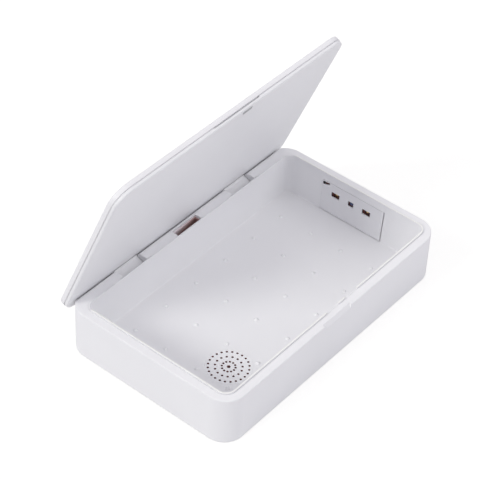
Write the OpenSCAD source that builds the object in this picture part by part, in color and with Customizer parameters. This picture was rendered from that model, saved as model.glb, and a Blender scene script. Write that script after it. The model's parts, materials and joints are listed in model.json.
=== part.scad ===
// UV sanitizer box for phones: a shallow moulded tray under a hinged lid.
// Origin: centre of the base's footprint, on the surface it stands on.
// +X points to the end wall with the ultraviolet panel, +Y to the hinge, +Z up.

/* [Base] */
// Length of the base
body_l = 220; // [200:1:260]
// Width of the base, front to hinge side
body_w = 135.6; // [130:0.2:170]
// Height of the flat rim above the surface
body_h = 37.7; // [35:0.1:60]
// Radius of the base's upright corners
corner_r = 15; // [12:0.5:20]
// Thickness of the outer wall
shell_wall = 2.2; // [1.8:0.1:2.6]
// Thickness of the flat rim
land_t = 2; // [1.6:0.1:2.6]
// Width of the flat rim at the front and the two ends
land_w = 6.05; // [5.5:0.05:8]
// Width of the flat rim on the hinge side
rear_land_w = 10.1; // [9.8:0.05:11]
// Rounding of the base's lower outside edge
foot_edge_r = 1.5; // [0.8:0.1:2]
// Rounding of the rim's outside edge
rim_edge_r = 0.8; // [0.4:0.1:1.2]

/* [Tray] */
// Gap between the rim and the tray's lip
lip_gap = 0.05; // [0.05:0.05:0.3]
// Thickness of the tray's lip
lip_t = 1; // [0.9:0.05:1.3]
// Height of the lip above the rim
lip_h = 1.3; // [0.8:0.1:2]
// Radius of the tray's inner corners at the lip
tray_r = 6.5; // [6:0.5:11]
// Height of the tray's floor above the surface
floor_z = 7.7; // [7:0.1:12]
// Thickness of the tray's floor
floor_t = 1.6; // [1.4:0.1:2]
// Thickness of the tray's walls
tray_wall = 1.5; // [1.3:0.1:1.7]
// How far each wall leans in between lip and floor
draft = 2.2; // [1:0.1:3]
// Hollow rounding between wall and floor
fillet_r = 1; // [0.5:0.1:2]
// Width of the flange under the rim
flange_w = 1.6; // [1.2:0.1:2]
// Thickness of the flange under the rim
flange_t = 1.5; // [1:0.1:2]
// Length of the notch in the lip at the front
notch_l = 32; // [20:0.5:40]
// Offset of the notch's middle
notch_x = 10; // [5:0.5:15]
// Length of the tab in the notch
tab_l = 6.8; // [4:0.2:10]

/* [Floor bumps] */
// Number of bumps along the tray
bumps_x = 6; // [2:1:8]
// Number of bumps across the tray
bumps_y = 4; // [2:1:6]
// Distance of the outer bumps from the tray's ends
bump_end = 27.8; // [20:0.1:40]
// Distance of the first row of bumps from the tray's front
bump_front = 21.6; // [18:0.1:28]
// Distance of the last row of bumps from the tray's rear
bump_rear = 17.55; // [15:0.05:28]
// Radius of a bump at the floor
bump_r = 1.5; // [1:0.1:2.5]
// Height of a bump
bump_h = 1; // [0.4:0.1:1]

/* [Scent grille] */
// Distance of the grille's centre from the left end face
grille_end = 50.2; // [45:0.2:55]
// Distance of the grille's centre from the front face
grille_front = 40.8; // [38:0.2:44]
// Radius of the grille disc
grille_r = 15.4; // [15:0.1:17]
// Spacing of the rings of holes
grille_ring = 4.45; // [4:0.05:4.6]
// Radius of a small hole
grille_hole_r = 0.8; // [0.4:0.05:0.9]
// Radius of the hole in the middle
grille_mid_r = 1.25; // [0.8:0.05:1.5]
// Thickness of the scent cup's wall
cup_wall = 1; // [0.8:0.1:1.4]
// Thickness of the scent pad
pad_t = 2; // [1:0.1:2.2]

/* [Ultraviolet panel] */
// Width of the panel
panel_w = 52.4; // [50:0.2:60]
// Height of the panel above the floor
panel_h = 25; // [23:0.2:26]
// Thickness of the panel
panel_t = 0.8; // [0.8:0.1:1.4]
// Distance of the panel's middle in front of the box's middle
panel_front = 0.8; // [0:0.1:2]
// How far the panel stands proud of the wall's face
panel_proud = 0.3; // [0.1:0.05:0.5]
// Gap under the panel and at its front end
panel_gap = 0.5; // [0.3:0.05:0.6]
// Height of the windows' centre above the floor
window_z = 16.8; // [12:0.1:18]
// Height of a window
window_h = 3.9; // [2.9:0.1:4.2]
// Width of an outer window
window_w = 6.8; // [5:0.1:8]
// Width of the middle window
mid_window_w = 4.6; // [3:0.1:5]
// Spacing of the windows
window_pitch = 13.2; // [10:0.1:15]
// Length of the open wedge in the panel's top corner
wedge_l = 6; // [4:0.5:8]
// Height of the open wedge at its thick end
wedge_h = 2.6; // [1.5:0.1:3]
// Thickness of the circuit boards
board_t = 1; // [0.8:0.1:1.2]
// Width of an ultraviolet diode
led_w = 3.5; // [3:0.1:4]
// Height of an ultraviolet diode
led_h = 2.6; // [2:0.1:3]
// Depth of an ultraviolet diode
led_t = 0.9; // [0.6:0.1:1]

/* [Hinge] */
// Distance of the hinge axis in front of the base's rear face
axis_in = 8.2; // [8:0.1:8.4]
// Distance of the hinge axis below the rim
axis_drop = 6.8; // [6.5:0.1:7]
// Angle of the lid as photographed, from closed
open_angle = 68.63; // [60:0.01:75]
// Radius of a knuckle
knuckle_r = 2.4; // [2.2:0.05:2.4]
// Radius of a hinge pin
pin_r = 0.8; // [0.6:0.05:1]
// Running clearance round a pin
pin_gap = 0.06; // [0.04:0.01:0.1]
// Width of a hinge arm
arm_w = 22; // [16:0.5:26]
// Thickness of a hinge arm
arm_t = 4.3; // [3.8:0.1:4.3]
// Distance of a hinge arm's middle from the end face
arm_end = 55; // [40:1:65]
// Hollow rounding between a hinge arm and the lid
cove_r = 1.2; // [0.6:0.1:1.2]
// Gap between moving pieces
move_gap = 0.3; // [0.3:0.05:0.4]
// Gap at each side of a hinge arm
arm_side_gap = 0.4; // [0.3:0.1:1.5]
// Thickness of a hinge lug
lug_t = 3; // [2.5:0.1:4]
// Gap between the open lid and the base's rear edge
stop_gap = 0.4; // [0.4:0.05:0.8]

/* [Lid] */
// Setback of the lid's edge from the base's front and rear faces
lid_setback = 0.6; // [0.3:0.1:1.5]
// Thickness of the lid
lid_t = 6.1; // [5.8:0.1:9]
// Thickness of the lid's inner panel
inner_t = 2.5; // [2.2:0.1:3]
// Radius of the lid's corners
lid_r = 13; // [10:0.5:16]
// Thickness of the lid's skins
skin_t = 1.4; // [1:0.1:1.6]
// Step between the inner panel and the shell
seam_step = 0.4; // [0.3:0.1:0.9]
// Rounding of the inner panel's edge
inner_edge_r = 0.6; // [0.4:0.1:1.4]
// Rounding of the lid's top edge
top_edge_r = 0.9; // [0.5:0.1:1.5]
// Width of the lid's rim
lid_rim = 4; // [3:0.1:6]
// Length of the deeper seam at the lid's front edge
pry_l = 43; // [30:1:60]
// Height of the deeper seam
pry_h = 0.8; // [0.4:0.1:1.2]

/* [Slot, catch and finger scoop] */
// Length of the slot behind the tray
slot_l = 23.5; // [15:0.5:30]
// Width of the slot
slot_w = 5.4; // [4.5:0.1:5.6]
// Offset of the slot's middle along the box
slot_x = -1.2; // [-5:0.1:5]
// Depth of the slot's pocket
slot_depth = 14; // [8:0.5:20]
// Thickness of the slot's liner
liner_t = 0.8; // [0.6:0.1:0.9]
// Length of the scoop in the front edge
scoop_l = 28; // [20:1:40]
// Depth of the scoop
scoop_d = 2; // [1:0.1:3]
// Height of the scoop
scoop_h = 3; // [1.5:0.1:4]
// Offset of the scoop's middle
scoop_x = -1.5; // [-5:0.1:5]
// Length of the catch
catch_l = 8; // [6:0.5:12]
// Width of the catch
catch_w = 2.4; // [1.5:0.1:3]
// Offset of the catch's middle
catch_x = 9.8; // [5:0.1:15]
// Thickness of the catch's steel plate
strike_t = 1.2; // [0.8:0.1:1.4]
// Thickness of the lid's two magnets
magnet_t = 1.8; // [1.2:0.1:2]

/* [Start button and inlet] */
// Radius of the button
button_r = 4.5; // [3.5:0.1:6]
// Travel of the button
button_travel = 0.4; // [0.2:0.05:0.5]
// Distance of the button from the near end of the ultraviolet panel
button_side = 11; // [11:0.1:13]
// Height of the button's centre
button_z = 20; // [17:0.5:23]
// Radius of the light pipe
pipe_r = 1; // [0.6:0.1:1.5]
// Distance between button and light pipe
pipe_dy = 9; // [8:0.5:10]
// Width of the button's circuit board
button_board_w = 22; // [18:0.5:24]
// Height of the button's circuit board
button_board_h = 12; // [9:0.5:14]
// Distance of the power inlet from the right end face
inlet_end = 30; // [25:1:40]
// Width of the power inlet
inlet_w = 8.9; // [8:0.1:10]
// Height of the power inlet
inlet_h = 3.2; // [2.8:0.1:4]
// Length of the main circuit board
main_l = 37; // [30:1:50]
// Width of the main circuit board
main_w = 8; // [6:0.5:12]
// Distance of the inlet from the board's end
main_end = 15; // [14:0.5:18]
// Distance of the board's two posts from the inlet
post_side = 12; // [10:0.5:13]
// Distance of the board's two posts from the rear wall
post_in = 5; // [4:0.5:6]
// Width of the flat lead to the diodes
lead_w = 3; // [2:0.5:5]
// Thickness of the flat lead
lead_t = 0.8; // [0.4:0.1:1]
// Thickness of the bottom cover
cover_t = 2; // [1.6:0.1:2.4]
// Gap round the bottom cover
cover_gap = 0.3; // [0.2:0.05:0.5]
// Radius of an anti-slip pad
foot_r = 6; // [4:0.5:8]
// Thickness of an anti-slip pad
foot_t = 1; // [0.6:0.1:1.2]
// Distance of an anti-slip pad's centre from two outer faces
foot_in = 16; // [14:1:20]
// Radius of a screw's shank
screw_r = 1; // [0.8:0.1:1.2]
// Radius of a screw's head
screw_head_r = 1.9; // [1.5:0.1:2.2]
// Thickness of a screw's head
screw_head_t = 0.8; // [0.5:0.1:0.9]
// Distance of the tray's screws from the end faces
tray_screw_x = 32; // [30:1:36]
// Distance of the tray's screws from the front and rear faces
tray_screw_y = 21; // [19:1:25]
// Distance of the front shell screws from the end faces
front_screw_x = 50; // [46:1:56]
// Distance of the rear shell screws from the end faces
rear_screw_x = 80; // [76:1:84]

/* [Hidden] */
$fn = 48;
eps = 0.01;
fit = 0.05;
white = "#f3f3f4";

lip_top = body_h + lip_h;
land_under = body_h - land_t;
floor_under = floor_z - floor_t;
drop = lip_top - floor_z;

// Plan of the tray's inner edge at the lip
tray_side = land_w + lip_gap + lip_t;
tray_rear = body_w / 2 - rear_land_w - lip_gap - lip_t;
tray_front = -body_w / 2 + tray_side;
tray_l = body_l - 2 * tray_side;
tray_w = tray_rear - tray_front;
tray_cy = (tray_rear + tray_front) / 2;
wall_out = body_l / 2 - shell_wall;
rear_in = body_w / 2 - shell_wall;

// How far the tray wall's face has leaned in at height z
function lean(z) = draft * (lip_top - z) / drop;

// Hinge axis and the closed lid
axis_y = body_w / 2 - axis_in;
axis_z = body_h - axis_drop;
lid_z = lip_top + move_gap;
lid_l = body_l;
lid_w = body_w - 2 * lid_setback;
arm_front = -(arm_t - knuckle_r);
seam_z = lid_z + inner_t;
thin_wall = axis_y - knuckle_r - move_gap - 0.08 - (tray_rear - lean(axis_z));
arm_x = body_l / 2 - arm_end;
lug_x = arm_w / 2 + arm_side_gap;

// Panel, boards and button
panel_x = tray_l / 2;
panel_y = -panel_front;
panel_edge = panel_y + panel_w / 2;
window_y = panel_y + 1;
window_mid = floor_z + window_z;
board_x = panel_x - lean(floor_z + panel_h) - panel_proud + panel_t + 0.5;
grille_x = body_l / 2 - grille_end;
grille_y = body_w / 2 - grille_front;
button_y = panel_w / 2 + panel_front + button_side;
board_y = -button_y - 2;
inlet_x = body_l / 2 - inlet_end;
led_x = board_x - led_t;
switch_x = wall_out - move_gap - 0.8 - button_travel - move_gap;
switch_t = 1.3;
post_h = floor_under - cover_t;
main_z = cover_t + 2;
foot_pos = [for (i = [-1, 1], j = [-1, 1]) [i * (body_l / 2 - foot_in), j * (body_w / 2 - foot_in)]];
tray_screws = [for (i = [-1, 1], j = [-1, 1])
    [i * (body_l / 2 - tray_screw_x), j * (body_w / 2 - tray_screw_y)]];
boss_r = 2.5;
front_boss_y = -rear_in + boss_r + 0.1;
rear_boss_y = rear_in - boss_r - 0.7;
shell_screws = [for (i = [-1, 1], p = [[front_screw_x, front_boss_y], [rear_screw_x, rear_boss_y]])
    [i * (body_l / 2 - p[0]), p[1]]];
boss_h = 9;

ring_holes = [12, 15, 24];

// Points along a circular arc
function arc(cx, cy, r, a0, a1, n = 5) =
    [for (i = [0:n]) [cx + r * cos(a0 + (a1 - a0) * i / n), cy + r * sin(a0 + (a1 - a0) * i / n)]];

// Flat rectangle with round corners
module rounded_rect(l, w, r) {
    square([l - 2 * r, w], center = true);
    square([l, w - 2 * r], center = true);
    for (i = [-1, 1], j = [-1, 1])
        translate([i * (l / 2 - r), j * (w / 2 - r)])
            circle(r);
}

// Flat plate with round corners, its underside at z = 0
module rounded_plate(l, w, r, h) {
    linear_extrude(h)
        rounded_rect(l, w, r);
}

// Sweeps a profile round a rectangle with round corners. The profile's x is
// the distance outside the rectangle and its y is the height.
module ring_sweep(l, w, r) {
    for (side = [0:3]) {
        run = side % 2 == 0 ? w : l;
        out = side % 2 == 0 ? l : w;
        rotate([0, 0, 90 * side]) {
            translate([out / 2, run / 2 - r, 0])
                rotate([90, 0, 0])
                    linear_extrude(run - 2 * r)
                        children();
            translate([out / 2 - r, run / 2 - r, 0])
                rotate_extrude(angle = 90)
                    translate([r, 0])
                        children();
        }
    }
}

// Box given by its two opposite corners
module block(a, b) {
    translate(a)
        cube(b - a);
}

// Turns what is drawn closed into the photographed open position
module opened() {
    translate([0, axis_y, axis_z])
        rotate([-open_angle, 0, 0])
            translate([0, -axis_y, -axis_z])
                children();
}

// Cylinder along X
module rod(x0, x1, y, z, r) {
    translate([x0, y, z])
        rotate([0, 90, 0])
            cylinder(h = x1 - x0, r = r);
}

// Space that one arm needs from closed to open
module arm_space(x) {
    reach = knuckle_r + move_gap;
    translate([x - lug_x, axis_y, axis_z])
        rotate([90, 0, 90])
            linear_extrude(2 * lug_x) {
                circle(reach);
                translate([-reach, 0])
                    square([2 * reach, body_h]);
                rotate(-open_angle)
                    translate([-3 * knuckle_r, 0])
                        square([3 * knuckle_r + reach, body_h]);
            }
}

// What the lid's face sweeps off the rim's rear edge as it turns
module rear_edge_cut() {
    edge_r = lid_z - axis_z - move_gap;
    difference() {
        block([-body_l, axis_y, axis_z + edge_r * cos(open_angle)], [body_l, body_w, body_h + 1]);
        rod(-body_l - 1, body_l + 1, axis_y, axis_z, edge_r);
    }
}

// Wedge cut from the front edge, for a finger under the lid
module finger_scoop() {
    front = -body_w / 2;
    translate([scoop_x, 0, 0])
        intersection() {
            rotate([90, 0, 90])
                linear_extrude(scoop_l, center = true)
                    polygon([[front - 1, body_h - scoop_h * (1 + 1 / scoop_d)],
                             [front + scoop_d + scoop_d / scoop_h, body_h + 1], [front - 1, body_h + 1]]);
            translate([0, front + scoop_d + 2, 0])
                rotate([90, 0, 0])
                    linear_extrude(scoop_d + 4)
                        polygon([[-scoop_l / 2, body_h + eps], [scoop_l / 2, body_h + eps],
                                 [scoop_l / 2 - scoop_d, body_h - scoop_h * (1 + 1 / scoop_d)],
                                 [-scoop_l / 2 + scoop_d, body_h - scoop_h * (1 + 1 / scoop_d)]]);
        }
}

// Outer housing: wall, flat rim, hinge lugs, stop rail, screw bosses
module base_shell() {
    color(white)
        difference() {
            union() {
                ring_sweep(body_l, body_w, corner_r)
                    polygon(concat(
                        [[-shell_wall, 0]],
                        arc(-foot_edge_r, foot_edge_r, foot_edge_r, -90, 0),
                        arc(-rim_edge_r, body_h - rim_edge_r, rim_edge_r, 0, 90),
                        [[-shell_wall, body_h]]));
                translate([0, 0, land_under])
                    difference() {
                        rounded_plate(body_l - shell_wall, body_w - shell_wall,
                                      corner_r - shell_wall / 2, land_t);
                        translate([0, tray_cy, -1])
                            rounded_plate(tray_l + 2 * (lip_t + lip_gap), tray_w + 2 * (lip_t + lip_gap),
                                          tray_r + lip_t + lip_gap, land_t + 2);
                    }
                // Rail that backs the bevelled rear edge
                block([-body_l / 2 + corner_r, rear_in - 3, land_under - 4],
                      [body_l / 2 - corner_r, rear_in + 1, land_under + eps]);
                for (side = [-1, 1], end = [-1, 1])
                    hinge_lug(side * arm_x + end * (lug_x + lug_t / 2));
                for (p = shell_screws)
                    screw_boss(p);
                slot_back_wall();
                for (s = [-1, 1])
                    button_post(board_y + s * button_board_w / 2);
            }
            for (side = [-1, 1])
                arm_space(side * arm_x);
            opened()
                block([-body_l, -body_w, lid_z - stop_gap], [body_l, body_w, lid_z + body_w]);
            rear_edge_cut();
            rod(-arm_x - lug_x - lug_t - 1, arm_x + lug_x + lug_t + 1, axis_y, axis_z, pin_r + 0.02);
            finger_scoop();
            block([slot_x - slot_l / 2, 0, land_under - slot_depth],
                  [slot_x + slot_l / 2, body_w / 2 - rear_land_w + slot_w, body_h + 1]);
            // Seat of the strike plate, from below
            block([catch_x - catch_l / 2 - fit, -body_w / 2 + land_w - catch_w - fit, land_under - 1],
                  [catch_x + catch_l / 2 + fit, -body_w / 2 + land_w + 1, land_under + strike_t + fit]);
            // Button hole, light pipe hole and power inlet
            rod(wall_out - 1, body_l / 2 + 1, -button_y, button_z, button_r + move_gap);
            rod(wall_out - 1, body_l / 2 + 1, -button_y - pipe_dy, button_z, pipe_r + 0.05);
            inlet_solid(0.15, body_w / 2 + 1);
        }
}

// Post that holds one end of the button's board
module button_post(y) {
    block([switch_x - switch_t, y - 0.6, button_z - button_board_h / 2 - 1],
          [wall_out + 1, y + 0.6, button_z + button_board_h / 2 + 1]);
}

module hinge_lug(x) {
    block([x - lug_t / 2, axis_y - knuckle_r + 0.1, axis_z - knuckle_r],
          [x + lug_t / 2, rear_in + 1, land_under + eps]);
}

module screw_boss(p) {
    wall = p[1] > 0 ? rear_in + 1 : -rear_in - 1;
    difference() {
        union() {
            translate([p[0], p[1], cover_t])
                cylinder(h = boss_h, r = boss_r);
            block([p[0] - 0.8, min(p[1], wall), cover_t], [p[0] + 0.8, max(p[1], wall), cover_t + boss_h]);
        }
        translate([p[0], p[1], cover_t - 1])
            cylinder(h = boss_h - 1, r = screw_r + 0.02);
    }
}

// Wall that closes the slot's pocket at the back
module slot_back_wall() {
    y = body_w / 2 - rear_land_w + slot_w;
    block([slot_x - slot_l / 2 - 1, y, land_under - slot_depth],
          [slot_x + slot_l / 2 + 1, y + 1.2, land_under + eps]);
}

// Rounded outline of the power inlet, from inside to y = y1
module inlet_solid(grow, y1) {
    r = inlet_h / 2 + grow;
    z = main_z + board_t + inlet_h / 2;
    translate([inlet_x, y1, z])
        rotate([90, 0, 0])
            linear_extrude(8) {
                square([inlet_w - inlet_h, 2 * r], center = true);
                for (i = [-1, 1])
                    translate([i * (inlet_w - inlet_h) / 2, 0])
                        circle(r);
            }
}

// Moulded tray: leaning walls, filleted floor, lip, flange, bumps
module inner_tray() {
    color(white)
        difference() {
            union() {
                translate([0, tray_cy, 0])
                    ring_sweep(tray_l, tray_w, tray_r)
                        polygon(concat(
                            [[0, lip_top], [lip_t, lip_top], [lip_t, land_under], [lip_t + flange_w, land_under],
                             [lip_t + flange_w, land_under - flange_t],
                             [tray_wall - lean(land_under - flange_t), land_under - flange_t],
                             [tray_wall - draft, floor_under],
                             [-draft - fillet_r, floor_under]],
                            arc(-draft - fillet_r, floor_z + fillet_r, fillet_r, -90, 0)));
                translate([0, tray_cy, floor_under])
                    rounded_plate(tray_l - 2 * draft - fillet_r, tray_w - 2 * draft - fillet_r,
                                  tray_r - draft - fillet_r / 2, floor_t);
                for (i = [0:bumps_x - 1], j = [0:bumps_y - 1])
                    translate([-tray_l / 2 + bump_end + i * (tray_l - 2 * bump_end) / (bumps_x - 1),
                               tray_front + bump_front + j * (tray_w - bump_front - bump_rear) / (bumps_y - 1),
                               floor_z])
                        bump();
                for (p = tray_screws)
                    translate([p[0], p[1], cover_t])
                        cylinder(h = post_h + eps, r = boss_r);
            }
            // Thin wall in front of the hinge
            for (side = [-1, 1])
                thin_wall_cut(side * arm_x - lug_x - lug_t - move_gap,
                              side * arm_x + lug_x + lug_t + move_gap);
            thin_wall_cut(slot_x - slot_l / 2 - 1, slot_x + slot_l / 2 + 1);
            // Opening for the ultraviolet panel
            block([panel_x - draft - fillet_r - 0.5, panel_edge - panel_w - panel_gap, floor_z],
                  [panel_x + 2, panel_edge + fit, floor_z + panel_h + fit]);
            translate([-grille_x, -grille_y, floor_under - 1])
                cylinder(h = floor_t + 2, r = grille_r + 0.03);
            rear_lip_cut();
            // Notch in the front lip on both sides of the tab
            lip_notch(notch_x - notch_l / 2, catch_x - tab_l / 2);
            lip_notch(catch_x + tab_l / 2, notch_x + notch_l / 2);
            for (p = tray_screws)
                translate([p[0], p[1], cover_t - 1])
                    cylinder(h = post_h + 1, r = screw_r + 0.02);
        }
}

// Brings the lip down to the rim along the hinge side
module rear_lip_cut() {
    rotate([90, 0, 90])
        linear_extrude(body_l, center = true)
            polygon([[tray_rear - tray_r, lip_top], [tray_rear - tray_r / 2, body_h], [body_w, body_h],
                     [body_w, lip_top + 1], [tray_rear - tray_r, lip_top + 1]]);
}

module lip_notch(x0, x1) {
    block([x0, -body_w / 2, body_h], [x1, tray_front + lip_t, lip_top + 1]);
}

module bump() {
    sphere_r = (bump_r * bump_r + bump_h * bump_h) / (2 * bump_h);
    difference() {
        translate([0, 0, bump_h - sphere_r])
            sphere(sphere_r, $fn = 24);
        translate([0, 0, -sphere_r * 2 - floor_t / 2])
            cylinder(h = sphere_r * 2, r = sphere_r + 1);
    }
}

// Thins the tray's rear wall from outside, parallel to its face
module thin_wall_cut(x0, x1) {
    translate([x0, 0, 0])
        rotate([90, 0, 90])
            linear_extrude(x1 - x0)
                polygon([[tray_rear + thin_wall, lip_top + 1], [tray_rear + thin_wall, lip_top],
                         [tray_rear + thin_wall - lean(axis_z - 4), axis_z - 4],
                         [tray_rear + 10, axis_z - 4],
                         [tray_rear + 10, lip_top + 1]]);
}

// Plate that closes the base from below
module bottom_cover() {
    inset = shell_wall + cover_gap;
    color("#e9e9ea")
        difference() {
            union() {
                rounded_plate(body_l - 2 * inset, body_w - 2 * inset, corner_r - inset, cover_t);
                for (s = [-1, 1])
                    translate([inlet_x + s * post_side, rear_in - post_in, 0])
                        cylinder(h = main_z, r = 1.6);
            }
            for (p = foot_pos)
                translate([p[0], p[1], -1])
                    cylinder(h = foot_t + 1, r = foot_r + 0.05);
            for (p = concat(tray_screws, shell_screws))
                translate([p[0], p[1], -1]) {
                    cylinder(h = cover_t + 2, r = screw_r + 0.1);
                    cylinder(h = 1.2 + screw_head_t, r = screw_head_r + 0.1);
                }
        }
}

module rubber_feet() {
    color("#c9c9cb")
        for (p = foot_pos)
            translate([p[0], p[1], 0])
                cylinder(h = foot_t, r = foot_r);
}

// Screws that hold the cover to the tray's posts and the shell's bosses
module cover_screws() {
    color("silver")
        for (p = concat(tray_screws, shell_screws))
            translate([p[0], p[1], 0.2]) {
                cylinder(h = screw_head_t, r = screw_head_r);
                cylinder(h = cover_t + post_h - 1, r = screw_r);
            }
}

// Disc with rings of holes, flush with the tray's floor
module scent_grille() {
    color(white)
        translate([-grille_x, -grille_y, floor_under])
            difference() {
                cylinder(h = floor_t, r = grille_r);
                translate([0, 0, -1])
                    cylinder(h = floor_t + 2, r = grille_mid_r, $fn = 24);
                for (ring = [1:len(ring_holes)], k = [1:ring_holes[ring - 1]])
                    rotate([0, 0, 360 * k / ring_holes[ring - 1]])
                        translate([ring * grille_ring, 0, -1])
                            cylinder(h = floor_t + 2, r = grille_hole_r, $fn = 16);
            }
}

// Cup that holds the scented pad under the grille
module scent_cup() {
    color("#e9e9ea")
        translate([-grille_x, -grille_y, cover_t])
            difference() {
                cylinder(h = floor_under - cover_t, r = grille_r + 1.5);
                translate([0, 0, cup_wall])
                    cylinder(h = floor_under, r = grille_r + 1.5 - cup_wall);
            }
}

module scent_pad() {
    color("#d8d2c6")
        translate([-grille_x, -grille_y, cover_t + cup_wall])
            cylinder(h = pad_t, r = grille_r + 0.2);
}

// Plate with three windows, leaning like the wall it closes
module uv_panel() {
    top = floor_z + panel_h;
    color("#ececee")
        difference() {
            union() {
                translate([0, panel_y, 0])
                    rotate([90, 0, 0])
                        linear_extrude(panel_w, center = true)
                            polygon([[panel_face(panel_gap), floor_z + panel_gap], [panel_face(panel_h), top],
                                     [panel_face(panel_h) + panel_t, top],
                                     [panel_face(panel_gap) + panel_t, floor_z + panel_gap]]);
                for (s = [-1, 1], z = [4, panel_h - 4])
                    rod(panel_face(z) + panel_t / 2, board_x, panel_y + s * (panel_w / 2 - 5), floor_z + z, 1.3);
            }
            for (k = [-1:1])
                block([panel_x - 6, window_y + k * window_pitch - window_width(k) / 2, window_mid - window_h / 2],
                      [board_x, window_y + k * window_pitch + window_width(k) / 2, window_mid + window_h / 2]);
            // Open wedge at the upper corner nearest the hinge
            translate([panel_x, 0, 0])
                rotate([90, 0, 90])
                    linear_extrude(12, center = true)
                        polygon([[panel_edge - 0.4, top - 1], [panel_edge - 0.4, top - 1 - 0.7 * wedge_h],
                                 [panel_edge - 0.9, top - 1 - wedge_h],
                                 [panel_edge - 0.4 - wedge_l, top - 0.4 - 0.6 * wedge_h],
                                 [panel_edge - 0.4 - wedge_l, top - 0.4]]);
        }
}

// X of the panel's face at height z over the floor
function panel_face(z) = panel_x - lean(floor_z + z) - panel_proud;
function window_width(k) = k == 0 ? mid_window_w : window_w;

module uv_led_board() {
    color("#26425a")
        block([board_x, panel_y - panel_w / 2 + 2, floor_z + 2],
              [board_x + board_t, panel_y + panel_w / 2 - 2, floor_z + panel_h - 2]);
}

module uv_leds() {
    for (s = [-1, 1])
        color("#e0b040")
            block([led_x, window_y + s * window_pitch - led_w / 2, window_mid - led_h / 2],
                  [board_x, window_y + s * window_pitch + led_w / 2, window_mid + led_h / 2]);
}

// Sensor behind the middle window
module light_sensor() {
    color("#30405c")
        block([led_x, window_y - 1.2, window_mid - 1], [board_x, window_y + 1.2, window_mid + 1]);
}

// Board that carries the power inlet, on the cover's two posts
module main_board() {
    color("#2c6e49")
        block([inlet_x + main_end - main_l, rear_in - 0.6 - main_w, main_z],
              [inlet_x + main_end, rear_in - 0.6, main_z + board_t]);
}

// Metal shell of the power inlet with its tongue
module usb_inlet() {
    color("silver")
        difference() {
            inlet_solid(0, body_w / 2 - 0.4);
            translate([0, 0.3, 0])
                inlet_solid(-0.3, body_w / 2 - 0.4 + 0.7);
        }
}

// Flat lead from the main board to the diode board
module led_lead() {
    r = corner_r - shell_wall;
    x1 = board_x + board_t + 0.5;
    y1 = rear_in - 3;
    z = main_z + board_t;
    color("#444444") {
        block([inlet_x + 8, y1 - lead_t / 2, z], [x1 - r + eps, y1 + lead_t / 2, z + lead_w]);
        translate([x1 - r, y1 - r, z])
            rotate_extrude(angle = 90)
                translate([r - lead_t / 2, 0])
                    square([lead_t, lead_w]);
        block([x1 - lead_t / 2, panel_edge - 8, z], [x1 + lead_t / 2, y1 - r + eps, z + lead_w]);
    }
}

// Small board behind the button
module button_board() {
    x = switch_x - switch_t;
    color("#2c6e49")
        block([x - board_t, board_y - button_board_w / 2, button_z - button_board_h / 2],
              [x, board_y + button_board_w / 2, button_z + button_board_h / 2]);
}

module button_switch() {
    color("#333333") {
        block([switch_x - switch_t, -button_y - 2.6, button_z - 2.6],
              [switch_x - 0.4, -button_y + 2.6, button_z + 2.6]);
        rod(switch_x - 0.4, switch_x, -button_y, button_z, 1.2);
    }
}

// Clear rod that carries the status light to the end face
module status_light() {
    color("#dfe8ee")
        rod(switch_x - switch_t, body_l / 2 - 0.2, -button_y - pipe_dy, button_z, pipe_r);
}

// Round button with its retaining flange
module start_button() {
    flange_x = wall_out - move_gap;
    color("#e4e6e8") {
        rod(flange_x - eps, body_l / 2 - 0.2, -button_y, button_z, button_r);
        rod(flange_x - 0.8, flange_x, -button_y, button_z, button_r + 1.2);
    }
}

// Liner of the slot's pocket: back, floor and one end
module slot_liner() {
    x0 = slot_x - slot_l / 2;
    x1 = slot_x + slot_l / 2;
    y1 = body_w / 2 - rear_land_w + slot_w;
    y0 = y1 - slot_w + 0.3;
    z0 = land_under - slot_depth;
    color("#7a5a50")
        difference() {
            block([x0, y0, z0], [x1, y1, land_under - fit]);
            block([x0 - 1, y0 - 1, z0 + liner_t], [x1 - liner_t, y1 - liner_t, land_under]);
        }
}

// Sensor chip on the floor of the pocket
module lid_sensor() {
    y = body_w / 2 - rear_land_w + slot_w / 2;
    z = land_under - slot_depth + liner_t;
    color("#222222")
        block([slot_x - 3, y - 1.5, z], [slot_x + 3, y + 1.2, z + 1.2]);
}

// Steel plate under the rim that the lid's magnet meets
module strike_plate() {
    color("#8a8a8c")
        block([catch_x - catch_l / 2, -body_w / 2 + land_w - catch_w, land_under + 0.02],
              [catch_x + catch_l / 2, -body_w / 2 + land_w, land_under + strike_t]);
}

module hinge_pins() {
    reach = lug_x + lug_t;
    color("silver")
        for (side = [-1, 1])
            rod(side * arm_x - reach, side * arm_x + reach, axis_y, axis_z, pin_r);
}

// Arm that joins the lid to its pin
module hinge_arm(x) {
    color(white)
        opened()
            difference() {
                union() {
                    rod(x - arm_w / 2, x + arm_w / 2, axis_y, axis_z, knuckle_r);
                    translate([x, axis_y, 0])
                        rotate([90, 0, 90])
                            linear_extrude(arm_w, center = true)
                                polygon(concat(
                                    [[arm_front, axis_z], [knuckle_r, axis_z], [knuckle_r, lid_z]],
                                    arc(arm_front - cove_r, lid_z - cove_r, cove_r, 90, 0)));
                }
                rod(x - arm_w / 2 - 1, x + arm_w / 2 + 1, axis_y, axis_z, pin_r + pin_gap);
            }
}

module hinge_arm_left() {
    hinge_arm(-arm_x);
}

module hinge_arm_right() {
    hinge_arm(arm_x);
}

// Outer half of the lid
module lid_shell() {
    color(white)
        opened() {
            ring_sweep(lid_l, lid_w, lid_r)
                polygon(concat(
                    [[-lid_rim, seam_z], [0, seam_z]],
                    arc(-top_edge_r, lid_z + lid_t - top_edge_r, top_edge_r, 0, 90),
                    [[-lid_rim, lid_z + lid_t]]));
            translate([0, 0, lid_z + lid_t - skin_t])
                rounded_plate(lid_l - lid_rim, lid_w - lid_rim, lid_r - lid_rim / 2, skin_t);
        }
}

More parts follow.
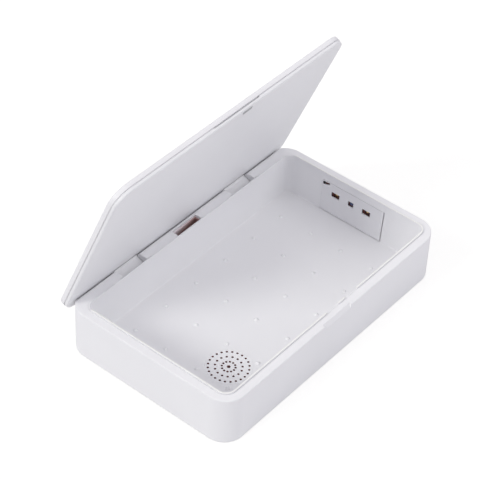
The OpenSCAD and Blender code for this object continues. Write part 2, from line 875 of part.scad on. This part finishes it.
// Inner half of the lid, the face that covers the tray
module lid_inner_panel() {
    edge = -seam_step - inner_edge_r;
    color(white)
        opened()
            difference() {
                union() {
                    ring_sweep(lid_l, lid_w, lid_r)
                        polygon(concat(
                            [[-lid_rim - seam_step, lid_z]],
                            arc(edge, lid_z + inner_edge_r, inner_edge_r, -90, 0),
                            [[-seam_step, seam_z], [-lid_rim - seam_step, seam_z]]));
                    translate([0, 0, lid_z])
                        rounded_plate(lid_l - lid_rim - seam_step, lid_w - lid_rim - seam_step,
                                      lid_r - (lid_rim + seam_step) / 2, skin_t);
                }
                // Deeper seam for a fingernail
                block([-pry_l / 2, -lid_w / 2 - 1, seam_z - pry_h],
                      [pry_l / 2, -lid_w / 2 + seam_step + 0.9, seam_z + 1]);
                catch_box(fit, lid_z - 1, lid_z - 0.3 + magnet_t);
            }
}

// Outline of the catch magnet in the closed lid
module catch_box(grow, z0, z1) {
    y = -body_w / 2 + land_w - catch_w / 2 - 0.3;
    block([catch_x - catch_l / 2 - grow, y - catch_w / 2 - grow, z0],
          [catch_x + catch_l / 2 + grow, y + catch_w / 2 + grow, z1]);
}

module catch_magnet() {
    color("#8a8a8c")
        opened()
            catch_box(0, lid_z - 0.3, lid_z - 0.3 + magnet_t);
}

// Magnet above the pocket's sensor, inside the lid
module sensor_magnet() {
    color("#8a8a8c")
        opened()
            translate([slot_x, body_w / 2 - rear_land_w + slot_w / 2 - 1, lid_z + skin_t])
                cylinder(h = magnet_t, r = 2.5);
}

base_shell();
inner_tray();
bottom_cover();
rubber_feet();
cover_screws();
scent_grille();
scent_cup();
scent_pad();
uv_panel();
uv_led_board();
uv_leds();
light_sensor();
main_board();
usb_inlet();
led_lead();
button_board();
button_switch();
status_light();
start_button();
slot_liner();
lid_sensor();
strike_plate();
hinge_pins();
hinge_arm_left();
hinge_arm_right();
lid_shell();
lid_inner_panel();
catch_magnet();
sensor_magnet();
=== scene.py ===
"""Looks of the phone sanitizer box: white satin mouldings, small electronics, plain studio."""
import json
import math

import bmesh
import bpy
from mathutils import Matrix, Vector


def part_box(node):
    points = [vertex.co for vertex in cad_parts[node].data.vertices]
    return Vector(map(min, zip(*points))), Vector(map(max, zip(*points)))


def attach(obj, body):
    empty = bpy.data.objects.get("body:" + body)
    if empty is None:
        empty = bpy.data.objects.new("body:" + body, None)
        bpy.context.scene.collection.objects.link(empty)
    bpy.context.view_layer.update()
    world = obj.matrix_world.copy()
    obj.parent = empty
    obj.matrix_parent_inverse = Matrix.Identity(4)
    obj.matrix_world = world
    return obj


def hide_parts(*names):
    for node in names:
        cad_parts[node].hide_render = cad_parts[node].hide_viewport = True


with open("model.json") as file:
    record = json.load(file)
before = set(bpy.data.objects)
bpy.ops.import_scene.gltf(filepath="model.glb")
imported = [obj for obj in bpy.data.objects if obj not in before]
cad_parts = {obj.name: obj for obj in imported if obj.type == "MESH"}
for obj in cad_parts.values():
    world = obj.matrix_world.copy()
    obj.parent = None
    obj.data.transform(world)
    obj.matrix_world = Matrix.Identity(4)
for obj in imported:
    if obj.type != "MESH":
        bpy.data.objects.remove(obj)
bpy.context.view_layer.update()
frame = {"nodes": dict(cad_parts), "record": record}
nodes = frame["nodes"]

MM = 0.001

# Camera, fitted to the photograph's edges
AZIMUTH, ELEVATION, ROLL = -52.206, 42.095, 3.018
CAMERA_MM = Vector((-739.605, -557.936, 896.023))
FOCAL_PX = 1939.341
PHOTO_PX = 480
SENSOR_MM = 36

# Fine spark-eroded grain of the mouldings: noise scale and strength of its bump
GRAIN_SCALE = 2600.0
GRAIN_DETAIL = 2.0
GRAIN_ROUGH = 0.6
GRAIN_MM = 0.012
GRAIN_STRENGTH = 0.25

WHITE = (0.865, 0.865, 0.88)
# Paler colour for the painted highlight on the tray lip's lit top
LIP_HIGHLIGHT = (0.93, 0.93, 0.91)


def make_camera():
    a, e, r = (math.radians(v) for v in (AZIMUTH, ELEVATION, ROLL))
    back = Vector((math.sin(a) * math.cos(e), -math.cos(a) * math.cos(e), math.sin(e)))
    right = Vector((math.cos(a), math.sin(a), 0))
    up = back.cross(right)
    rolled_right = right * math.cos(r) + up * math.sin(r)
    rolled_up = up * math.cos(r) - right * math.sin(r)
    data = bpy.data.cameras.new("camera")
    data.sensor_width = SENSOR_MM
    data.lens = FOCAL_PX / PHOTO_PX * SENSOR_MM
    data.clip_start = 0.05
    data.clip_end = 20
    cam = bpy.data.objects.new("camera", data)
    rotation = Matrix((rolled_right, rolled_up, back)).transposed().to_4x4()
    cam.matrix_world = Matrix.Translation(CAMERA_MM * MM) @ rotation
    bpy.context.collection.objects.link(cam)
    bpy.context.scene.camera = cam


# Node helpers


class Graph:
    """The node tree of a material or the world, with short calls."""

    def __init__(self, owner, output="OutputMaterial"):
        self.owner = owner
        owner.use_nodes = True
        self.tree = owner.node_tree
        self.tree.nodes.clear()
        self.out = self.add(output)

    def add(self, kind, **values):
        """New node. A value names a setting of the node or, with _ for a space, one of its inputs."""
        node = self.tree.nodes.new("ShaderNode" + kind)
        for key, value in values.items():
            if hasattr(node, key):
                setattr(node, key, value)
            else:
                node.inputs[key.replace("_", " ")].default_value = value
        return node

    def link(self, a, b):
        self.tree.links.new(a, b)

    def place(self):
        """Position on the object, in metres."""
        return self.add("TexCoord").outputs["Object"]

    def axis(self, vector, name):
        node = self.add("SeparateXYZ")
        self.link(vector, node.inputs["Vector"])
        return node.outputs[name]

    def mapped(self, vector, **values):
        node = self.add("Mapping", **values)
        self.link(vector, node.inputs["Vector"])
        return node.outputs["Vector"]

    def noise(self, vector, scale, detail, rough=0.5):
        node = self.add("TexNoise", Scale=scale, Detail=detail, Roughness=rough)
        self.link(vector, node.inputs["Vector"])
        return node.outputs["Fac"]

    def rise(self, value, low, high):
        """0 up to low, 1 from high on."""
        node = self.add("MapRange", From_Min=low, From_Max=high)
        self.link(value, node.inputs["Value"])
        return node.outputs["Result"]

    def combined(self, operation, a, b):
        node = self.add("Math", operation=operation)
        self.link(a, node.inputs[0])
        self.link(b, node.inputs[1])
        return node.outputs["Value"]

    def ramp(self, source, stops):
        node = self.tree.nodes.new("ShaderNodeValToRGB")
        elements = node.color_ramp.elements
        while len(elements) < len(stops):
            elements.new(0.5)
        for element, (place, colour) in zip(elements, stops):
            element.position = place
            element.color = (*colour, 1)
        self.link(source, node.inputs["Fac"])
        return node.outputs["Color"]

    def bump(self, height, strength, depth_mm, normal=None):
        node = self.add("Bump", Strength=strength, Distance=depth_mm * MM)
        self.link(height, node.inputs["Height"])
        if normal is not None:
            self.link(normal, node.inputs["Normal"])
        return node.outputs["Normal"]

    def mixed(self, factor, first, second):
        """Shader mix, put on the output."""
        node = self.add("MixShader")
        self.link(factor, node.inputs["Fac"])
        self.link(first.outputs[0], node.inputs[1])
        self.link(second.outputs[0], node.inputs[2])
        self.link(node.outputs[0], self.out.inputs["Surface"])

    def principled(self, sources, **values):
        """Principled surface with linked sources and plain values, put on the output."""
        bsdf = self.add("BsdfPrincipled", **values)
        for name, source in sources.items():
            self.link(source, bsdf.inputs[name])
        self.link(bsdf.outputs["BSDF"], self.out.inputs["Surface"])
        return self.owner


def material_graph(name):
    return Graph(bpy.data.materials.new(name))


def grain(g, place):
    return g.noise(place, GRAIN_SCALE, GRAIN_DETAIL, GRAIN_ROUGH)


# Finishes


def moulded(name, colour, rough=0.42, soft=0.5, highlight_above=None):
    """Satin moulded plastic: faint tone variation, fine grain, edges softened by soft in mm.

    Above the given height, in mm, the colour is paler: a painted highlight where light falls on the lip's
    top."""
    g = material_graph(name)
    place = g.place()
    cloud = g.noise(place, 14.0, 3.0)
    shaded = [c * 0.97 for c in colour]
    tone = g.ramp(cloud, [(0.3, shaded), (0.7, colour)])
    fine = grain(g, place)
    gloss = g.ramp(fine, [(0.3, [rough - 0.04] * 3), (0.7, [rough + 0.05] * 3)])
    edge = g.add("Bevel", samples=6, Radius=soft * MM)
    normal = g.bump(fine, GRAIN_STRENGTH, GRAIN_MM, edge.outputs["Normal"])
    if highlight_above:
        # Painted highlight: the colour turns paler above the lip height, as on a lit lip top
        painted_highlight = g.add("MixRGB", Color2=(*LIP_HIGHLIGHT, 1))
        g.link(g.rise(g.axis(place, "Z"), highlight_above * MM, (highlight_above + 0.3) * MM), painted_highlight.inputs["Fac"])
        g.link(tone, painted_highlight.inputs["Color1"])
        tone = painted_highlight.outputs["Color"]
    return g.principled({"Base Color": tone, "Roughness": gloss, "Normal": normal}, Specular_IOR_Level=0.45)


def metal(name, colour, rough=0.3, streak=(1, 1, 1)):
    """Bare or plated metal with faint streaks."""
    g = material_graph(name)
    noise = g.noise(g.mapped(g.place(), Scale=streak), 900.0, 4.0)
    gloss = g.ramp(noise, [(0.3, [rough] * 3), (0.7, [rough + 0.15] * 3)])
    tone = g.ramp(noise, [(0.3, [c * 0.9 for c in colour]), (0.7, colour)])
    return g.principled({"Base Color": tone, "Roughness": gloss}, Metallic=1.0)


def speckled(name, dark, light, scale, rough=0.6, bump_mm=0.05):
    """Two-tone grained surface: rubber, felt, board or diode."""
    g = material_graph(name)
    noise = g.noise(g.place(), scale, 5.0, 0.65)
    tone = g.ramp(noise, [(0.35, dark), (0.65, light)])
    normal = g.bump(noise, 0.5, bump_mm)
    return g.principled({"Base Color": tone, "Normal": normal}, Roughness=rough)


def liner_painted_shade():
    """Painted shade on the sheet lining the pocket: mauve grey near the rim where light reaches, red brown
    in its depth and at its right end, where the white plastic lies in shade.
    """
    shaded_red_brown, brown = (0.22, 0.095, 0.08), (0.44, 0.26, 0.25)
    mauve, lit_mauve_grey = (0.72, 0.60, 0.62), (0.84, 0.80, 0.84)
    g = material_graph("liner_brown")
    # The scales turn the pocket's 22 mm of length and 13 mm of depth into steps of the painted shade ramp
    along = g.mapped(g.place(), Location=(0, 0, -1.5), Scale=(-18, 0, 60))
    depth = g.combined("ADD", g.axis(along, "X"), g.axis(along, "Z"))
    # Painted shade: darker towards the depth and the right end, paler towards the lit rim
    tone = g.ramp(depth, [(0.2, shaded_red_brown), (0.45, brown), (0.7, mauve), (0.95, lit_mauve_grey)])
    return g.principled({"Base Color": tone}, Roughness=0.6)


def grille_bore_shade():
    """White face whose bores get painted shade: red brown below the surface."""
    bore_shade_deep, bore_shade_edge = (0.28, 0.13, 0.11), (0.42, 0.25, 0.23)
    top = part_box("scent_grille")[1][2]
    g = material_graph("grille")
    place = g.place()
    rise = g.rise(g.axis(place, "Z"), top - 0.5 * MM, top - 0.05 * MM)
    # Painted shade in the bores: red brown just below the face, white on it
    tone = g.ramp(rise, [(0.0, bore_shade_deep), (0.8, bore_shade_edge), (1.0, WHITE)])
    normal = g.bump(grain(g, place), GRAIN_STRENGTH, GRAIN_MM)
    return g.principled({"Base Color": tone, "Normal": normal}, Roughness=0.45)


def diode_finish():
    """Nearly black brown package of a diode."""
    g = material_graph("diode_package")
    noise = g.noise(g.place(), 1500.0, 3.0)
    tone = g.ramp(noise, [(0.35, (0.030, 0.012, 0.010)), (0.65, (0.055, 0.022, 0.016))])
    return g.principled({"Base Color": tone}, Roughness=0.35)


def dress(node, mat):
    mesh = nodes[node].data
    mesh.materials.clear()
    mesh.materials.append(mat)
    for poly in mesh.polygons:
        poly.use_smooth = True


# Height in mm above which the tray's lip top gets its painted highlight
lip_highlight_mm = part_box("inner_tray")[1][2] / MM - 0.5

finishes = {
    "white_shell": moulded("white_shell", WHITE),
    "white_tray": moulded("white_tray", WHITE, rough=0.45, highlight_above=lip_highlight_mm),
    "white_cover": moulded("white_cover", (0.84, 0.84, 0.85), rough=0.5),
    "white_lid": moulded("white_lid", WHITE, rough=0.38, soft=0.9),
    "white_lid_inner": moulded("white_lid_inner", WHITE, soft=1.5),
    "panel_plastic": moulded("panel_plastic", (0.82, 0.82, 0.84), soft=0.25),
    "button_grey": moulded("button_grey", (0.74, 0.75, 0.78), soft=0.3),
    "black_plastic": moulded("black_plastic", (0.03, 0.03, 0.03), soft=0.2),
    "lead_jacket": moulded("lead_jacket", (0.1, 0.1, 0.1), soft=0.2),
    "clear_plastic": moulded("clear_plastic", (0.8, 0.84, 0.88), rough=0.25, soft=0.2),
    "rubber_pad": speckled("rubber_pad", (0.45, 0.45, 0.46), (0.58, 0.58, 0.59), 1500.0, 0.75),
    "felt": speckled("felt", (0.6, 0.56, 0.49), (0.78, 0.74, 0.66), 2200.0, 0.9, 0.2),
    # The board's dark red brown is partly its own colour and partly painted shade, tinting what the panel's
    # openings show
    "board_dark": speckled("board_dark", (0.14, 0.045, 0.04), (0.24, 0.08, 0.07), 800.0),
    "board_green": speckled("board_green", (0.04, 0.16, 0.08), (0.08, 0.24, 0.12), 900.0, 0.4),
    "led_yellow": speckled("led_yellow", (0.75, 0.42, 0.10), (0.9, 0.62, 0.22), 1800.0, 0.35),
    "sensor_blue": speckled("sensor_blue", (0.05, 0.06, 0.14), (0.10, 0.12, 0.26), 1200.0, 0.25),
    "screw_steel": metal("screw_steel", (0.6, 0.6, 0.61)),
    "pin_steel": metal("pin_steel", (0.62, 0.62, 0.63), streak=(0.05, 1, 1)),
    "inlet_steel": metal("inlet_steel", (0.66, 0.66, 0.67), streak=(1, 0.1, 1)),
    "magnet_steel": metal("magnet_steel", (0.5, 0.5, 0.51), 0.35),
    "liner_brown": liner_painted_shade(),
}
for part in frame["record"]["subparts"]:
    dress(part["node"], finishes[part["material_slot"]])
# The cup and pad show only through the grille; their dark red brown is painted shade of the hollow under it
dress("scent_grille", grille_bore_shade())
dress("scent_cup", speckled("cup_painted_shade", (0.26, 0.11, 0.09), (0.36, 0.17, 0.14), 900.0, 0.7))
dress("scent_pad", speckled("pad_painted_shade", (0.30, 0.12, 0.10), (0.50, 0.24, 0.20), 2200.0, 0.9, 0.2))


# Pieces in mesh code, all sizes in mm


def piece(name, bm, mat, body, instead=None, smooth=True):
    """A finished mesh that rides on a body."""
    mesh = bpy.data.meshes.new(name)
    bmesh.ops.recalc_face_normals(bm, faces=bm.faces)
    bm.to_mesh(mesh)
    bm.free()
    o = bpy.data.objects.new(name, mesh)
    bpy.context.collection.objects.link(o)
    mesh.materials.append(mat)
    for poly in mesh.polygons:
        poly.use_smooth = smooth
    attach(o, body)
    if instead:
        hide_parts(instead)
    return o


def box_mm(node):
    low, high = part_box(node)
    return Vector(low) / MM, Vector(high) / MM


def block(bm, low, high, bevel=0.0, segments=2):
    """Box between two corners, with rounded edges, added to the mesh."""
    low, high = Vector(low) * MM, Vector(high) * MM
    made = bmesh.ops.create_cube(bm, size=1)["verts"]
    for v in made:
        v.co = Vector((low[k] + (v.co[k] + 0.5) * (high[k] - low[k]) for k in range(3)))
    if bevel:
        edges = list({e for v in made for e in v.link_edges})
        bmesh.ops.bevel(bm, geom=edges, offset=bevel * MM, segments=segments, profile=0.5, affect="EDGES")


def turned(bm, outline, centre, axis, steps):
    """Solid of revolution: outline of (radius, height), height along axis from centre."""
    turn = Vector(axis).to_track_quat("Z", "Y").to_matrix()
    centre = Vector(centre) * MM
    angles = [2 * math.pi * k / steps for k in range(steps)]
    rings = []
    for r, h in outline:
        if r == 0:
            offsets = [Vector((0, 0, h * MM))]
        else:
            offsets = [Vector((r * math.cos(a), r * math.sin(a), h)) * MM for a in angles]
        rings.append([bm.verts.new(centre + turn @ offset) for offset in offsets])
    for a, b in zip(rings, rings[1:]):
        for k in range(steps):
            n = (k + 1) % steps
            if len(a) == 1:
                bm.faces.new((a[0], b[k], b[n]))
            elif len(b) == 1:
                bm.faces.new((a[k], b[0], a[n]))
            else:
                bm.faces.new((a[k], b[k], b[n], a[n]))


def make_diodes():
    """Two packages with a stepped frame and an amber window near the upper edge, which is also a painted
    glint of the lit top.
    """
    low, high = box_mm("uv_leds")
    length = 3.5
    bar = 0.4
    frame_front = low.x + 0.25
    body_front = low.x + 0.45
    frame_back = low.x + 0.6
    window_from, window_to = 0.35, 2.05
    window_low, window_high = high.z - 1.15, high.z - 0.05
    body_bevel, bar_bevel = 0.12, 0.1
    packages, glint_windows = bmesh.new(), bmesh.new()
    for start in (low.y, high.y - length):
        end = start + length
        block(packages, (body_front, start, low.z), (high.x, end, high.z), body_bevel)
        for z in (low.z, high.z - bar):
            block(packages, (frame_front, start, z), (frame_back, end, z + bar), bar_bevel)
        for y in (start, end - bar):
            block(packages, (frame_front, y, low.z), (frame_back, y + bar, high.z), bar_bevel)
        # Amber window at the upper edge: the package's window and a painted glint where its top catches the
        # light
        block(glint_windows, (low.x, start + window_from, window_low),
              (frame_back, start + window_to, window_high), body_bevel)
    piece("diode_packages", packages, diode_finish(), "base", "uv_leds")
    piece("diode_glint_windows", glint_windows, finishes["led_yellow"], "base", "uv_leds")


def make_button():
    """Round cap with a flange behind the wall, a rounded rim and a shallow dish for the finger."""
    low, high = box_mm("start_button")
    mid = (low + high) / 2
    flange_r = (high.y - low.y) / 2
    flange_t, flange_round = 0.8, 0.1
    cap_r, cap_round = 4.5, 0.5
    dish, dish_steps = 0.35, 8
    top = high.x - low.x
    flat_r = cap_r - cap_round
    outline = [(0, 0), (flange_r - flange_round, 0), (flange_r, flange_round),
               (flange_r, flange_t - flange_round), (flange_r - flange_round, flange_t),
               (cap_r, flange_t), (cap_r, top - cap_round)]
    for degrees in range(15, 91, 15):
        a = math.radians(degrees)
        outline.append((flat_r + cap_round * math.cos(a), top - cap_round + cap_round * math.sin(a)))
    for k in range(dish_steps - 1, 0, -1):
        share = k / dish_steps
        outline.append((flat_r * share, top - dish * (1 - share ** 2)))
    outline.append((0, top - dish))
    cap = bmesh.new()
    turned(cap, outline, (low.x, mid.y, mid.z), (1, 0, 0), 96)
    piece("button_cap", cap, finishes["button_grey"], "button", "start_button")


def make_inlet_tongue():
    """Contact tongue inside the power inlet, with twelve contacts on each face."""
    low, high = box_mm("usb_inlet")
    mid = (low + high) / 2
    half_w, half_t = 3.35, 0.35
    tongue_back, tongue_front = low.y + 0.3, high.y - 0.8
    root_back, root_front = low.y + 0.25, low.y + 1.3
    root_side, root_edge = 0.9, 0.5
    count, pitch = 12, 0.5
    first = mid.x - (count - 1) * pitch / 2
    contact_half_w, contact_half_t = 0.13, 0.04
    contact_back, contact_front = low.y + 1.2, high.y - 1.1
    tongue, contacts = bmesh.new(), bmesh.new()
    block(tongue, (mid.x - half_w, tongue_back, mid.z - half_t),
          (mid.x + half_w, tongue_front, mid.z + half_t), 0.12)
    block(tongue, (low.x + root_side, root_back, low.z + root_edge),
          (high.x - root_side, root_front, high.z - root_edge), 0.2)
    for k in range(count):
        x = first + pitch * k
        for z in (mid.z - half_t, mid.z + half_t):
            block(contacts, (x - contact_half_w, contact_back, z - contact_half_t),
                  (x + contact_half_w, contact_front, z + contact_half_t), 0.03, 1)
    piece("inlet_tongue", tongue, finishes["black_plastic"], "base")
    piece("inlet_contacts", contacts, metal("contact_gold", (0.85, 0.62, 0.28), 0.25), "base")


def loose_boxes(mesh):
    """Lowest and highest corner of each loose part of a mesh."""
    neighbours = {v.index: [] for v in mesh.vertices}
    for edge in mesh.edges:
        a, b = edge.vertices
        neighbours[a].append(b)
        neighbours[b].append(a)
    seen = set()
    boxes = []
    for start in neighbours:
        if start in seen:
            continue
        seen.add(start)
        waiting = [start]
        corners = []
        while waiting:
            v = waiting.pop()
            corners.append(mesh.vertices[v].co / MM)
            fresh = [w for w in neighbours[v] if w not in seen]
            seen.update(fresh)
            waiting.extend(fresh)
        boxes.append([Vector([pick(c[k] for c in corners) for k in range(3)]) for pick in (min, max)])
    return boxes


def screw_outline(head_r, length):
    """Pan head, then a shank with thread ridges and a blunt point."""
    head_t, shank_r, root_r, pitch = 0.8, 1.0, 0.85, 0.5
    outline = [(0, 0), (head_r - 0.35, 0), (head_r - 0.12, 0.08), (head_r, 0.3), (head_r, head_t),
               (root_r, head_t)]
    z = head_t
    while z + pitch < length - 0.4:
        outline += [(root_r, z + 0.1), (shank_r, z + pitch / 2)]
        z += pitch
    return outline + [(root_r, length - 0.3), (0, length)]


def cut_out(o, bm):
    """Cut the mesh bm out of the object."""
    mesh = bpy.data.meshes.new("cross")
    bm.to_mesh(mesh)
    bm.free()
    cutter = bpy.data.objects.new("cross", mesh)
    bpy.context.collection.objects.link(cutter)
    cut = o.modifiers.new("cut", "BOOLEAN")
    cut.operation = "DIFFERENCE"
    cut.solver = "EXACT"
    cut.object = cutter
    bpy.context.view_layer.update()
    finished = o.evaluated_get(bpy.context.evaluated_depsgraph_get())
    cut_mesh = bpy.data.meshes.new_from_object(finished)
    o.modifiers.clear()
    o.data = cut_mesh
    bpy.data.objects.remove(cutter)


def make_screws():
    """Pan-head cover screws with a cross recess and a threaded shank.

    Known fault: the CAD mesh shares no points between its faces, so each screw comes as five loose
    parts. The screws made from them overlap, break in the cut and lose their heads."""
    bar_long, bar_short = 0.95, 0.17
    recess = 0.45
    screws, bar_x, bar_y = bmesh.new(), bmesh.new(), bmesh.new()
    for low, high in loose_boxes(nodes["cover_screws"].data):
        x, y = (low.x + high.x) / 2, (low.y + high.y) / 2
        outline = screw_outline((high.x - low.x) / 2, high.z - low.z)
        turned(screws, outline, (x, y, low.z), (0, 0, 1), 32)
        for bm, dx, dy in ((bar_x, bar_long, bar_short), (bar_y, bar_short, bar_long)):
            block(bm, (x - dx, y - dy, low.z - 1), (x + dx, y + dy, low.z + recess))
    o = piece("cross_screws", screws, finishes["screw_steel"], "base", "cover_screws",
              smooth=False)
    cut_out(o, bar_x)
    cut_out(o, bar_y)


make_diodes()
make_button()
make_inlet_tongue()
make_screws()


# Studio


def make_world():
    """Pale, slightly violet light on the box, white where a camera, glossy or clear ray sees it."""
    scene = bpy.context.scene
    scene.view_settings.view_transform = "Standard"
    scene.world = bpy.data.worlds.new("studio")
    g = Graph(scene.world, "OutputWorld")
    light = g.add("Background", Color=(0.84, 0.83, 1.0, 1), Strength=0.33)
    seen = g.add("Background", Color=(1, 1, 1, 1), Strength=1.0)
    path = g.add("LightPath").outputs
    direct = g.combined("MAXIMUM", path["Is Camera Ray"], path["Is Glossy Ray"])
    either = g.combined("MAXIMUM", direct, path["Is Transmission Ray"])
    g.mixed(either, light, seen)


def make_lamp(name, energy, turn, height, width, colour):
    """Sun of a given width, turned about Z and raised over the floor, all in degrees."""
    sun = bpy.data.lights.new(name, "SUN")
    sun.energy = energy
    sun.angle = math.radians(width)
    sun.color = colour
    lamp = bpy.data.objects.new(name, sun)
    turn, height = math.radians(turn), math.radians(height)
    flat = math.cos(height)
    direction = Vector((math.cos(turn) * flat, math.sin(turn) * flat, math.sin(height)))
    lamp.rotation_mode = "QUATERNION"
    lamp.rotation_quaternion = direction.to_track_quat("Z", "Y")
    lamp.location = direction
    bpy.context.collection.objects.link(lamp)


def make_floor():
    """White floor that shows the camera a faint shadow."""
    half, below = 6.0, 0.0001
    mesh = bpy.data.meshes.new("floor")
    corners = [(-half, -half, 0), (half, -half, 0), (half, half, 0), (-half, half, 0)]
    mesh.from_pydata(corners, [], [(0, 1, 2, 3)])
    floor = bpy.data.objects.new("floor", mesh)
    floor.location.z = -below
    bpy.context.collection.objects.link(floor)
    g = material_graph("floor")
    bounced = g.add("BsdfDiffuse", Color=(0.86, 0.86, 0.86, 1))
    shaded = g.add("BsdfDiffuse", Color=(0.5, 0.5, 0.48, 1))
    glow = g.add("Emission", Color=(1, 1, 1, 1), Strength=0.62)
    shown = g.add("AddShader")
    g.link(shaded.outputs[0], shown.inputs[0])
    g.link(glow.outputs[0], shown.inputs[1])
    g.mixed(g.add("LightPath").outputs["Is Camera Ray"], bounced, shown)
    mesh.materials.append(g.owner)


make_camera()
make_world()
make_lamp("key", energy=1.17, turn=160, height=34, width=20, colour=(1.0, 1.0, 0.955))
make_lamp("fill", energy=0.56, turn=285, height=25, width=40, colour=(1.0, 1.0, 1.0))
make_lamp("top", energy=1.22, turn=0, height=90, width=120, colour=(1.0, 0.98, 0.93))
make_floor()
